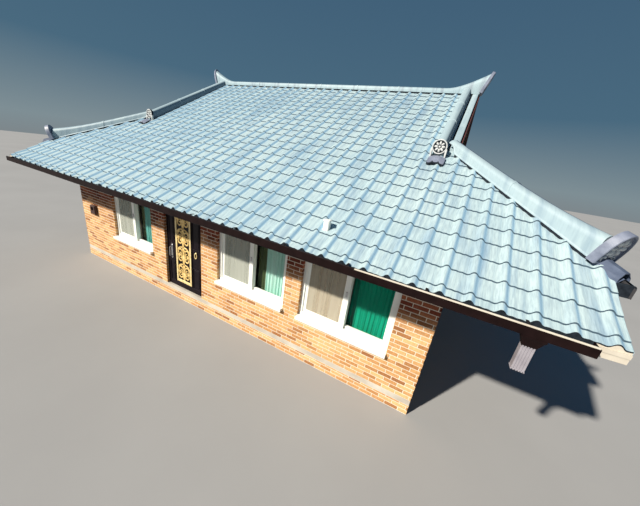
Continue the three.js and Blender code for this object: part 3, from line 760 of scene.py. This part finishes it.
def gable_ridge(x, y):
    shape = Shape()
    centre = x * 3.565
    half = 0.088
    start, end, face = 0.1, 2.51, 2.525
    rings = []
    for s, out in seam_stations(start, end, 0.9):
        section = grown(cap_section(half - 0.006, 0.157 + 0.031 * s, 0.03, 0.004), out)
        rings.append([(centre + w, y * s, main_z(s) + h) for w, h in section])
    shape.loft(rings)
    # Beside each foot, a near-black strip in the groove is painted shadow; the pale lip is the cap's own
    # colour.
    painted_shade_joint = (half - 0.02, half - 0.004, 0.004, 0.034, 2)
    pale_lip = (half - 0.004, half + 0.016, 0.012, 0.022, 0)
    for side in (-1, 1):
        for near, far, low, high, paint in (painted_shade_joint, pale_lip):
            a, b = sorted((centre + side * near, centre + side * far))
            shape.loft([[(u, y * s, main_z(s) + h) for u, h in ((a, low), (b, low), (b, high), (a, high))]
                        for s in (start, end)], paint)
    heading = 0.0 if y < 0 else math.pi
    disc(shape, turned((centre, y * face, main_z(end) + 0.147), heading), 0.11, 0.05)
    for side in (-1, 1):
        shape.block((centre + side * 0.092, centre + side * 0.118), (y * 2.53, y * 2.575),
                    (main_z(2.575) + 0.01, main_z(face) + 0.13), 0.006, 1)
    # A near-black block under the disc is painted shadow.
    foot = main_z(2.6)
    shape.block((centre - 0.1, centre + 0.1), (y * 2.53, y * 2.6), (foot + 0.01, foot + 0.045), 0.004, 2)
    drip = ((2.58, 0.055), (2.63, 0.087), (2.66, 0.094), (2.7, 0.095), (2.745, 0.088), (2.778, 0.076))
    scalloped_from = 2.75
    # The drip plate, then a near-black copy just under it as painted shadow.
    for paint, drop, more in ((3, 0.0, 0.0), (2, 0.008, 0.016)):
        rings = []
        for s, high in drip:
            arc = []
            for k in range(17):
                t = -1 + k / 8
                reach = s + more + (0.012 * math.cos(3 * math.pi * t) if s > scalloped_from else 0.0)
                z = main_z(reach) + high - 0.03 * t * t - drop
                arc.append((centre + 0.01 * x + 0.122 * t, y * reach, z))
            rings.append(arc + [(px, py, pz - 0.01) for px, py, pz in reversed(arc)])
        shape.loft(rings, paint)
    name = corner_name(x, y)
    shape.build(f"gable_ridge_cap_{name}", [CAP, RELIEF, SHADOW_EDGE, END_TILE], "ridge_cap",
                smooth=40, stands_for=f"gable_ridge_{name}")


def hip_ridge(x, y):
    shape = Shape()
    half, wall, foot, tall = 0.113, 0.101, 0.048, 0.153
    start, end = 3.87, 5.37
    drop = half * SLOPE / math.sqrt(2)

    def ring(along, section):
        across = [(w / math.sqrt(2), h) for w, h in section]
        return [(x * (along + w), -y * (HIP_SHIFT - along + w), side_z(along) + h) for w, h in across]

    def bent(height, foot):
        """The cap's section, whose feet follow the two slopes down."""
        section = cap_section(wall, height, foot)
        return [(w, h if abs(w) < 0.5 * half or h > 0.08 else h - drop * abs(w) / half) for w, h in section]

    first = bent(tall, foot)
    head = [(w, h if h > 0.07 else h + drop + (drop if w < 0 else 0.0)) for w, h in first]
    rings = [ring(along, head) for along in (3.745, 3.815)]
    stations = []
    for along, out in seam_stations(start, end, 0.75):
        if stations and along - stations[-1][0] >= 0.2:
            last = stations[-1][0]
            stations += [(last + (along - last) * k / 5, 0.0) for k in range(1, 5)]
        stations.append((along, out))
    for along, out in stations:
        rings.append(ring(along, grown(bent(tall + 0.1 * ((along - start) / (end - start)) ** 4, foot), out)))
    shape.loft(rings)
    # The crest's far flank takes the painted shade colour.
    count = len(first)
    for k in range(len(rings) - 1):
        for i in range(4, 9):
            shape.paint[k * count + i] = 4
    # A near-black strip just behind the cap's lips: painted shadow in the gap between the rolls.
    reach, thick = 0.108, 0.055
    painted_shade_strip = [(-reach, SEAT - drop), (0.0, SEAT), (reach, SEAT - drop), (reach, thick - drop), (0.0, thick),
              (-reach, thick - drop)]
    shape.loft([ring(along, painted_shade_strip) for along in (start, end - 0.01)], 3)
    # The low corner cap is painted shade; a near-black plate in its hollow end is painted shadow.
    low = bent(0.068, 0.006)
    hollow = [(w * 0.86, h * 0.8 + 0.004) for w, h in low]
    shape.loft([ring(5.33, low), ring(5.528, low), ring(5.528, hollow), ring(5.49, hollow)], 4)
    shape.loft([ring(5.5, hollow), ring(5.501, hollow)], 3)
    at = 5.345
    turn = turned((x * at, -y * (HIP_SHIFT - at), side_z(at) + SEAT), math.atan2(x, -y), 20)
    end_tile(shape, turn, 0.32, 0.33, 0.08, 0.026)
    name = corner_name(x, y)
    shape.build(f"hip_ridge_cap_{name}", [CAP, END_TILE, RELIEF, SHADOW_EDGE, PAINTED_SHADE_CAP], "ridge_cap",
                smooth=40, stands_for=f"hip_ridge_{name}")


def verges():
    outer = 3.809
    strip = [(3.7, 0.0), (3.7, 0.034), (3.708, 0.042), (3.75, 0.045), (3.798, 0.046), (3.808, 0.038),
             (outer, 0.0)]
    # The groove's strip carries painted shadow.
    groove = [(3.655, 0.0), (3.655, 0.008), (3.702, 0.008), (3.702, 0.0)]
    edge_cap = [(SHEET_HALF + 0.0001, -0.03), (SHEET_HALF + 0.004, -0.03), (SHEET_HALF + 0.004, 0.016),
                (SHEET_HALF + 0.0001, 0.02)]
    corner_z = side_z(SIDE_EAVE_X)
    for name, x in SIDES[::-1]:
        shape = Shape()
        for y in (-1, 1):
            for section, paint in ((strip, 0), (groove, 1)):
                rings = [[(x * min(w, outer), y * s, main_z(s) + h + SEAT) for w, h in grown(section, out)]
                         for s, out in seam_stations(0.1, 2.32, 0.75)]
                shape.loft(rings, paint)
            shape.loft([[(x * w, y * s, main_z(s) + eave_lift(SHEET_HALF, s) + h) for w, h in edge_cap]
                        for s in (3.98, 4.25, 4.4, 4.55, 4.65, EAVE_Y)])
            # The side eave's corner block and, below, its edge board are painted near black as shade.
            shape.block((x * 5.455, x * SIDE_EAVE_X), (y * SIDE_HALF, y * 4.105),
                        (corner_z - 0.1, corner_z + 0.02), 0.003, 1)
        edge = x * (SIDE_EAVE_X + 0.0004)
        shape.block((edge, edge + x * 0.008), (-4.1, 4.1), (corner_z - 0.1, corner_z + 0.01), 0.002, 1)
        shape.build(f"{name}_verge_trim", [CAP, SHADOW_EDGE], "roof_sheet", smooth=40)


# Brickwork
COURSE = 0.0669
BRICK = 0.2
JOINT = 0.01
PROUD = 0.004


def lay_brick(shape, face, u, z):
    """One brick of a random tint, with its outer edges broken. face(u, z, depth) gives the point."""
    inset = 0.003
    rings = []
    for cut, depth in ((0.0, -inset), (0.0, PROUD - inset), (inset, PROUD)):
        rings.append([face(u[0] + cut, z[0] + cut, depth), face(u[1] - cut, z[0] + cut, depth),
                      face(u[1] - cut, z[1] - cut, depth), face(u[0] + cut, z[1] - cut, depth)])
    shape.loft(rings, 0, dice.random())


def courses(low, high):
    """The foot and head of each course."""
    z = low
    while z < high:
        yield z + JOINT / 2, z + COURSE - JOINT / 2
        z += COURSE


def brick_wall(shape, face, span, low, high, holes=(), ceiling=None, shift=0):
    """Stretcher courses over a span, round its holes and under its ceiling."""
    for k, (foot, head) in enumerate(courses(low, high - 0.02), shift):
        head = min(head, high - 0.003)
        free = [span]
        for hole, level in holes:
            if level[0] < middle((foot, head)) < level[1]:
                beside = [part for a, b in free for part in ((a, min(b, hole[0])), (max(a, hole[1]), b))]
                free = [(a, b) for a, b in beside if b - a > 0.01]
        for a, b in free:
            u = math.floor(a / BRICK) * BRICK - (BRICK / 2 if k % 2 else 0.0)
            while u < b:
                left = a if u < a else u + JOINT / 2
                right = b if u + BRICK > b else u + BRICK - JOINT / 2
                if right - left > 0.025:
                    top = min(ceiling(left), ceiling(right)) if ceiling else head
                    if top > foot + 0.015:
                        lay_brick(shape, face, (left, right), (foot, min(head, top)))
                u += BRICK


def brickwork():
    top = main_z(HALF_DEPTH) - 0.1
    reach, deep = HALF_LENGTH + PROUD, HALF_DEPTH + PROUD
    base = FOOTING_TOP - 2.5 * COURSE
    doorway = (DOORWAY, (FLOOR_TOP, OPENING[1]))
    for name, side in FACES:
        windows_there = (WINDOWS if side < 0 else BACK_WINDOWS).values()
        holes = [(span, OPENING) for span in windows_there] + [doorway] * (side < 0)

        def face(u, z, d, side=side):
            return (u, side * (HALF_DEPTH + d), z)
        shape = Shape()
        brick_wall(shape, face, (-reach, reach), FLOOR_TOP, top - 0.012, holes)
        brick_wall(shape, face, (-reach, reach), base, FOOTING_TOP, shift=1)
        for hole, level in holes:
            for edge, into in ((hole[0], 1), (hole[1], -1)):
                def reveal(u, z, d, edge=edge, into=into, side=side):
                    return (edge + into * d, side * (HALF_DEPTH + 0.003 - u), z)
                for up in courses(FLOOR_TOP, top):
                    if level[0] < middle(up) < level[1]:
                        lay_brick(shape, reveal, (0.0, 0.051), up)
        shape.build(f"{name}_bricks", [CLAY], "brick")

    def ceiling(u):
        return min(side_z(HALF_LENGTH), main_z(u)) - 0.112
    for name, side in SIDES:
        def face(u, z, d, side=side):
            return (side * (HALF_LENGTH + d), u, z)
        shape = Shape()
        brick_wall(shape, face, (-deep, deep), FLOOR_TOP, 3.3, ceiling=ceiling, shift=1)
        brick_wall(shape, face, (-deep, deep), base, FOOTING_TOP)
        shape.build(f"{name}_bricks", [CLAY], "brick")


# Windows
def bar_frame(shape, x, y, z, widths, edge=0.004):
    """Four bars round a light; widths are left, right, bottom and top."""
    left, right, bottom, top = widths
    across = (x[0] + left - edge, x[1] - right + edge)
    shape.block((x[0], x[0] + left), y, z, edge)
    shape.block((x[1] - right, x[1]), y, z, edge)
    shape.block(across, y, (z[0], z[0] + bottom), edge)
    shape.block(across, y, (z[1] - top, z[1]), edge)


def window_sashes(name, x, side):
    """Two sliding sashes one behind the other, two ribs along the bottom rail and a lock."""
    def behind(a, b):
        return (side * (HALF_DEPTH - a), side * (HALF_DEPTH - b))
    shape = Shape()
    wide = within(x, 0.0003)
    centre = middle(wide)
    z = (0.9036, 2.1467)
    stile, slim, bar = 0.05, 0.008, 0.046
    bar_frame(shape, (wide[0] + 0.053, centre - 0.038), behind(0.068, 0.108), z, (stile, slim, bar, bar))
    bar_frame(shape, (centre + 0.038, wide[1] - 0.053), behind(0.09, 0.13), z, (slim, stile, bar, bar))
    for low, high in ((0.86, 0.872), (0.884, 0.892)):
        shape.block(within(wide, 0.01), behind(0.045, 0.052), (low, high), 0.002)
    shape.block(about(centre, 0.012), behind(0.03, 0.052), (1.45, 1.53), 0.004, 1)
    shape.build(f"{name}_sashes", [WHITE, STEEL], "white_plastic")


def window_screen(name, x, paint):
    """A fine mesh in a slim frame before the left light."""
    shape = Shape()
    u = (x[0] + 0.098, middle(x) - 0.042)
    z = (0.948, 2.102)
    bar, overlap = 0.012, 0.011
    bar_frame(shape, u, about(-3.926, 0.004), z, [bar] * 4, 0.002)
    shape.block(within(u, overlap), about(-3.926, 0.0005), within(z, overlap), 0.0003, 1)
    shape.build(f"{name}_screen", [WHITE, paint], "white_plastic")


def curtain(name, x, paint, node, join, deep):
    """A gathered sheet. Left of join it takes the paint's second colour."""
    low, high, pleat = 0.8, 2.235, 0.075
    seed = x[0]
    columns = max(24, int((x[1] - x[0]) / 0.006))
    rows = 14
    points = []
    for j in range(rows + 1):
        down = j / rows
        for i in range(columns + 1):
            u = x[0] + (x[1] - x[0]) * i / columns
            wander = 0.9 * math.sin(3.1 * u + seed)
            phase = 2 * math.pi * u / pleat + wander + 0.35 * math.sin(4.0 * down + 9 * u + seed)
            swell = deep * (0.55 + 0.45 * down) * math.sin(phase) + 0.004 * math.sin(2.3 * phase + seed)
            aside = 0.004 * math.sin(5 * down + u * 7)
            points.append((u + aside, CURTAIN_Y + swell, high - (high - low) * down))
    shape = Shape()
    for j in range(rows):
        for i in range(columns):
            a = j * (columns + 1) + i
            shape.faces.append((a, a + columns + 1, a + columns + 2, a + 1))
            shape.tint.append(0.0 if points[a][0] < join else 1.0)
    shape.points = points
    shape.paint = [0] * len(shape.faces)
    piece = shape.build(name, [paint], "curtain", smooth=180, outward=False)
    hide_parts(node)


def windows():
    for (name, span), mesh in zip(WINDOWS.items(), (PALE_MESH, PALE_MESH, WARM_MESH)):
        window_sashes(name, span, -1)
        window_screen(name, span, mesh)
    for name, span in BACK_WINDOWS.items():
        window_sashes(name, span, 1)
    # Each curtain: its ends, its cloth and where the second colour stops
    drapes = {"window_1": ((-2.9, -2.19, SHADE_DARKENED_SHEER, -3.0), (-2.13, -1.4, MINT, -2.03)),
              "window_2": ((0.4, 1.17, SHADE_DARKENED_SHEER, 0.0), (1.25, 2.02, AQUA, 1.42)),
              "window_3": ((2.2, 2.96, SHADE_DARKENED_BEIGE, 2.0), (3.04, 3.8, TEAL, 3.12))}
    past = 0.08
    for window, parts in drapes.items():
        a, b = WINDOWS[window]
        rail = Shape()
        path = [Vector((a - past + (b - a + 2 * past) * k / 8, CURTAIN_Y, 2.25)) for k in range(9)]
        rail.tube(path, 0.011, sides=12, up=Vector((0, 0, 1)))
        for end in (path[0], path[-1]):
            rail.block(about(end.x, 0.012), (end.y - 0.022, end.y + 0.02), about(end.z, 0.02), 0.005)
        bar = rail.build(f"{window}_curtain_rail", [WHITE], "white_plastic", smooth=40)
        deep = 0.008 if window == "window_3" else 0.012
        for (low, high, paint, join), word in zip(parts, ("left", "right")):
            node = f"{window}_curtain"
            curtain(f"{node}_{word}", (low, high), paint, node, join, deep)


# Door
def ribbon(shape, path, widths, y):
    """A flat bar along points in X and Z, between two values of Y. A single width holds all the way."""
    rings = []
    for k, (px, pz) in enumerate(path):
        ax, az = path[max(0, k - 1)]
        bx, bz = path[min(len(path) - 1, k + 1)]
        length = math.hypot(bx - ax, bz - az) or 1.0
        nx, nz = -(bz - az) / length, (bx - ax) / length
        w = (widths[k] if isinstance(widths, list) else widths) / 2
        top = w - 0.25 * w
        section = ((-w, y[1]), (w, y[1]), (w, y[0] + 0.003), (top, y[0]), (-top, y[0]), (-w, y[0] + 0.003))
        rings.append([(px + nx * out, depth, pz + nz * out) for out, depth in section])
    shape.loft(rings)


def spiral(centre, start, turns, outer, inner, side):
    path = []
    for k in range(22):
        t = k / 21
        angle = start + 2 * math.pi * turns * t
        radius = outer + (inner - outer) * t
        path.append((centre[0] + side * radius * math.cos(angle), centre[1] + radius * math.sin(angle)))
    return path


def door_panel():
    """A gilt border round four like fields, each with an arch, four scrolls, stems, leaves and a bud."""
    x, (front, back), z = spans("door_panel")
    shape = Shape()
    mid = back - 0.004
    border, rail, slim = 0.052, 0.06, 0.012
    count = 4
    shape.block(within(x, 0.002), (mid, back), within(z, 0.002), 0.001, 2)
    for a, inner in ((x[0], x[0] + border - slim), (x[1] - border, x[1] - border)):
        shape.block((a, a + border), (front, mid + 0.001), z, 0.004, 1)
        shape.block((inner, inner + slim), (front, mid), within(z, 0.05), 0.002)
    for end in ((z[0], z[0] + rail), (z[1] - rail, z[1])):
        shape.block(within(x, border - 0.004), (front + 0.001, mid + 0.001), end, 0.004, 1)
    centre = middle(x)
    inside = (x[1] - x[0]) / 2 - border
    tall = (z[1] - z[0] - 2 * rail) / count
    y = (front + 0.0015, mid + 0.001)
    for n in range(count):
        base = z[0] + rail + tall * n

        def at(across, up, base=base):
            return (centre + inside * across, base + tall * up)
        arch = [at(-0.96 * cos, 0.72 + 0.24 * sin) for cos, sin in circle(32)[:17]]
        ribbon(shape, arch, 0.026, y)
        for side in (-1, 1):
            for up, turns, size in ((0.68, 1.15, 0.46), (0.27, -1.1, 0.42)):
                start = -math.copysign(math.pi / 2, turns)
                path = spiral(at(side * 0.5, up), start, turns, inside * size, inside * 0.1, side)
                ribbon(shape, path, [0.036 - 0.0009 * k for k in range(22)], y)
            stem = [at(side * (0.06 + 0.27 * math.sin(math.pi * k / 12) ** 2), k / 12) for k in range(13)]
            ribbon(shape, stem, 0.026, y)
            leaf = [at(side * (0.92 - 0.1 * abs(k - 4) / 4), 0.34 + 0.035 * k) for k in range(9)]
            ribbon(shape, leaf, [0.008, 0.024, 0.04, 0.05, 0.054, 0.046, 0.034, 0.02, 0.008], y)
        ribbon(shape, [at(0.0, 0.04 + 0.11 * k) for k in range(9)],
               [0.012, 0.036, 0.06, 0.074, 0.062, 0.044, 0.034, 0.022, 0.01], y)
        shape.dome(Vector((centre, front + 0.003, base + tall * 0.37)), FACING, (0.022, 0.034, 0.003), 1)
    shape.build("door_openwork", [GOLD, PALE_GOLD, DOOR_BLACK], "gilt", body="door", smooth=30,
                stands_for="door_panel")


def door_mouldings():
    """Two framed fields each side of the gilt panel, a frame round it, and the knocker."""
    gilt_x, _, gilt_z = spans("door_panel")
    back = DOOR_FRONT + 0.004
    shape = Shape()
    for x in ((-0.962, gilt_x[0] - 0.028), (gilt_x[1] + 0.028, -0.042)):
        for z in ((0.37, 0.84), (1.24, 2.06)):
            bar_frame(shape, within(x, 0.012), (DOOR_FRONT - 0.011, back), z, [0.016] * 4, 0.003)
            shape.block(within(x, 0.045), (DOOR_FRONT - 0.007, back), within(z, 0.035), 0.005)
    bar_frame(shape, within(gilt_x, -0.02), (DOOR_FRONT - 0.016, back), within(gilt_z, -0.02), [0.0195] * 4)
    shape.build("door_mouldings", [DOOR_BLACK], "door_metal", body="door")
    ring = Shape()
    off, half_width, half_height = 0.012, 0.03, 0.055
    centre = Vector((-0.17, DOOR_FRONT - off, 1.125))
    path = [centre + Vector((half_width * cos, 0, half_height * sin)) for cos, sin in circle(28)]
    ring.tube(path, 0.008, sides=10, closed=True)
    ring.dome(centre + Vector((0, off, half_height)), FACING, (0.018, 0.018, 0.016))
    ring.build("door_knocker_ring", [PALE_GOLD], "gilt", body="door", smooth=40)


def door_handle():
    wide, _, z = spans("door_handle")
    x = middle(wide)
    low, high = within(z, 0.006)
    shape = Shape()
    shape.block(about(x, 0.026), (DOOR_FRONT - 0.0085, DOOR_FRONT - 0.0003), within(z, -0.035), 0.005)
    path = []
    for k in range(19):
        t = k / 18
        out = 0.05 * min(1.0, 3.2 * math.sin(math.pi * t))
        path.append(Vector((x, DOOR_FRONT - 0.006 - out, low + (high - low) * t)))
    shape.tube(path, 0.0105, sides=12, up=Vector((1, 0, 0)))
    shape.dome(Vector((x, DOOR_FRONT - 0.008, z[0] - 0.014)), FACING, (0.012, 0.012, 0.006), 1)
    shape.build("door_pull", [STEEL, DOOR_BLACK], "handle", body="door", smooth=40, stands_for="door_handle")


# Rainwater and fittings
def gutter_trim(name, side):
    """Rolled edges, end caps and brackets. The front lip is cream at its right end."""
    def across(a, b):
        return (side * a, side * b)
    top, foot, lip = 2.29, 2.21, 4.8702
    change = 3.3
    lips = [((-GUTTER_HALF, change), 1), ((change, GUTTER_HALF), 0)]
    if side > 0:
        lips = [(about(0.0, GUTTER_HALF), 1)]
    shape = Shape()
    for x, paint in lips:
        shape.block(x, across(4.852, lip), (top - 0.014, top + 0.012), 0.004, paint)
    shape.block(about(0.0, GUTTER_HALF), across(4.862, lip), (foot + 0.002, foot + 0.012), 0.003, 1)
    for end in (-1, 1):
        x = (end * GUTTER_HALF, end * (GUTTER_HALF + 0.006))
        shape.block(x, across(4.7506, lip), (foot, top), 0.002, 1)
    for k in range(13):
        x = about(-4.8 + 0.8 * k, 0.013)
        shape.block(x, across(4.745, 4.868), (top - 0.004, top + 0.002), 0.0015, 1)
        shape.block(x, across(4.866, lip), (foot + 0.015, top), 0.0015, 1)
    shape.build(f"{name}_gutter_trim", [GUTTER_CREAM, GUTTER_DARK], "gutter")


def ribbed_spout(name, side):
    x, y = -side * 4.855, side * 4.8103
    shape = Shape()
    hopper = [(0.05, 0.038, 2.102), (0.05, 0.038, 2.11), (0.078, 0.052, 2.18), (0.088, 0.057, 2.19),
              (0.088, 0.057, 2.2085), (0.08, 0.05, 2.2085), (0.07, 0.045, 2.18)]
    square = ((-1, -1), (1, -1), (1, 1), (-1, 1))
    shape.loft([[(x + u * half, y + v * deep, z) for u, v in square] for half, deep, z in hopper], 1)
    ribs = []
    for k in range(5):
        a = -0.0495 + 0.0198 * k
        ribs += [(a + 0.0004, 0.0), (a + 0.004, 0.005), (a + 0.0145, 0.005), (a + 0.0185, 0.0)]
    outline = [(u, -0.035 - d) for u, d in ribs] + [(-u, 0.035 + d) for u, d in ribs]
    shape.loft([[(x + u, y + v, z) for u, v in outline] for z in (1.862, 1.9, 2.0, 2.11)])
    shape.block(about(x, 0.0525), about(y, 0.04), (1.86, 1.872), 0.003)
    shape.build(f"{name}_ribbed_spout", [SPOUT_GREY, GUTTER_DARK], "gutter", stands_for=f"{name}_spout")


def fascia(name, side):
    """Two stepped boards past each end of the gutter."""
    shape = Shape()
    for end in (-1, 1):
        for low, high, out in ((2.155, 2.205, 0.008), (2.205, 2.24, 0.014)):
            board = ((0.0, low), (out, low), (out, high), (0.0, high))
            shape.loft([[(end * x, side * (EAVE_Y + 0.0006 + d), z + eave_lift(x, EAVE_Y)) for d, z in board]
                        for x in (GUTTER_HALF + 0.008, 5.34, SHEET_HALF)])
    shape.build(f"{name}_fascia", [GUTTER_CREAM], "gutter")


def fittings():
    x, (front, back), z = spans("meter_box")
    shape = Shape()
    shape.block(x, (front + 0.014, back), z, 0.006)
    shape.block(within(x, 0.006), (front, front + 0.016), within(z, 0.006), 0.005)
    shape.block(within(x, 0.05), (front, front + 0.01), (z[0] + 0.1, z[1] - 0.04), 0.002, 1)
    shape.dome(Vector((x[1] - 0.02, front + 0.001, middle(z))), FACING, (0.006, 0.006, 0.003), 1)
    shape.build("meter_box_lidded", [METER_BROWN, DOOR_BLACK], "meter_box", stands_for="meter_box")

    x, y, (low, high) = spans("roof_box")
    vent = Shape()
    vent.block(within(x, 0.008), within(y, 0.008), (low, high - 0.012), 0.008)
    vent.block(x, y, (high - 0.022, high), 0.006)
    vent.block(within(x, 0.03), (y[0] + 0.004, y[0] + 0.012), (high - 0.075, high - 0.032), 0.003)
    vent.build("roof_vent_box", [WHITE], "white_plastic", stands_for="roof_box")


# Looks of the CAD nodes that stay
def dress_nodes():
    names = {"foundation": MORTAR, "floor_slab": BAND, "door_frame": DOOR_BLACK, "door_leaf": DOOR_BLACK}
    endings = {"_sill": WHITE, "_frame": WHITE, "_glass": GLASS, "_roof": SOFFIT, "_gable_wall": PLASTER,
               "_gable_boards": DARK_WOOD}
    words = {"gutter": GUTTER_DARK, "wall": MORTAR}
    for name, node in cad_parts.items():
        looks = [names[name]] if name in names else []
        looks += [look for ending, look in endings.items() if name.endswith(ending)]
        looks += [look for word, look in words.items() if word in name]
        if looks:
            node.data.materials.clear()
            node.data.materials.append(looks[0])


# Studio
def camera_at_photo():
    """The photograph's place, direction and lens."""
    data = bpy.data.cameras.new("camera")
    data.sensor_fit = "HORIZONTAL"
    data.sensor_width = 36.0
    data.lens = 14.92
    data.clip_start = 0.05
    data.clip_end = 300.0
    right = Vector((0.87666, 0.46031, 0.13995))
    up = Vector((-0.2774, 0.24595, 0.92874))
    back = Vector((0.39308, -0.85301, 0.34331))
    at = Vector((4.0046, -7.2688, 3.3171))
    camera = linked("camera", data)
    camera.matrix_world = Matrix((*zip(right, up, back, at), (0, 0, 0, 1)))
    bpy.context.scene.camera = camera


def studio():
    mesh = bpy.data.meshes.new("studio_floor")
    far = 60
    mesh.from_pydata([(-far, -far, 0), (far, -far, 0), (far, far, 0), (-far, far, 0)], [], [(0, 1, 2, 3)])
    mesh.materials.append(PALE_FLOOR)
    linked("studio_floor", mesh)

    sun = bpy.data.lights.new("key_sun", "SUN")
    sun.energy = 6.5
    sun.angle = math.radians(2.0)
    sun.color = (1.0, 0.93, 0.82)
    key = linked("key_sun", sun)
    toward = Vector((-0.6, -1.0, 0.88)).normalized()
    key.rotation_euler = toward.to_track_quat("Z", "Y").to_euler()

    world = bpy.data.worlds.new("studio")
    world.use_nodes = True
    sky = Graph(world.node_tree)
    background = sky.nodes["Background"]
    direction = sky.add("TexCoord", "Generated", {})
    rise = sky.add("SeparateXYZ", "Z", {"Vector": direction})
    height = sky.add("MapRange", "Result", {"Value": rise, "From Min": -0.1})
    stops = [(0.0, (0.6, 0.62, 0.64)), (0.09, (0.62, 0.8, 0.88)), (0.25, (0.2, 0.42, 0.62)),
             (1.0, (0.06, 0.18, 0.42))]
    sky.links.new(sky.ramp(height, stops), background.inputs["Color"])
    background.inputs["Strength"].default_value = 0.34
    bpy.context.scene.world = world
    bpy.context.scene.view_settings.view_transform = "Standard"


roof_sheets()
main_ridge()
for y_side in (-1, 1):
    for x_side in (-1, 1):
        gable_ridge(x_side, y_side)
        hip_ridge(x_side, y_side)
verges()
brickwork()
windows()
door_panel()
door_mouldings()
door_handle()
for face_name, face_side in FACES:
    gutter_trim(face_name, face_side)
    ribbed_spout(face_name, face_side)
    fascia(face_name, face_side)
fittings()
dress_nodes()
studio()
camera_at_photo()
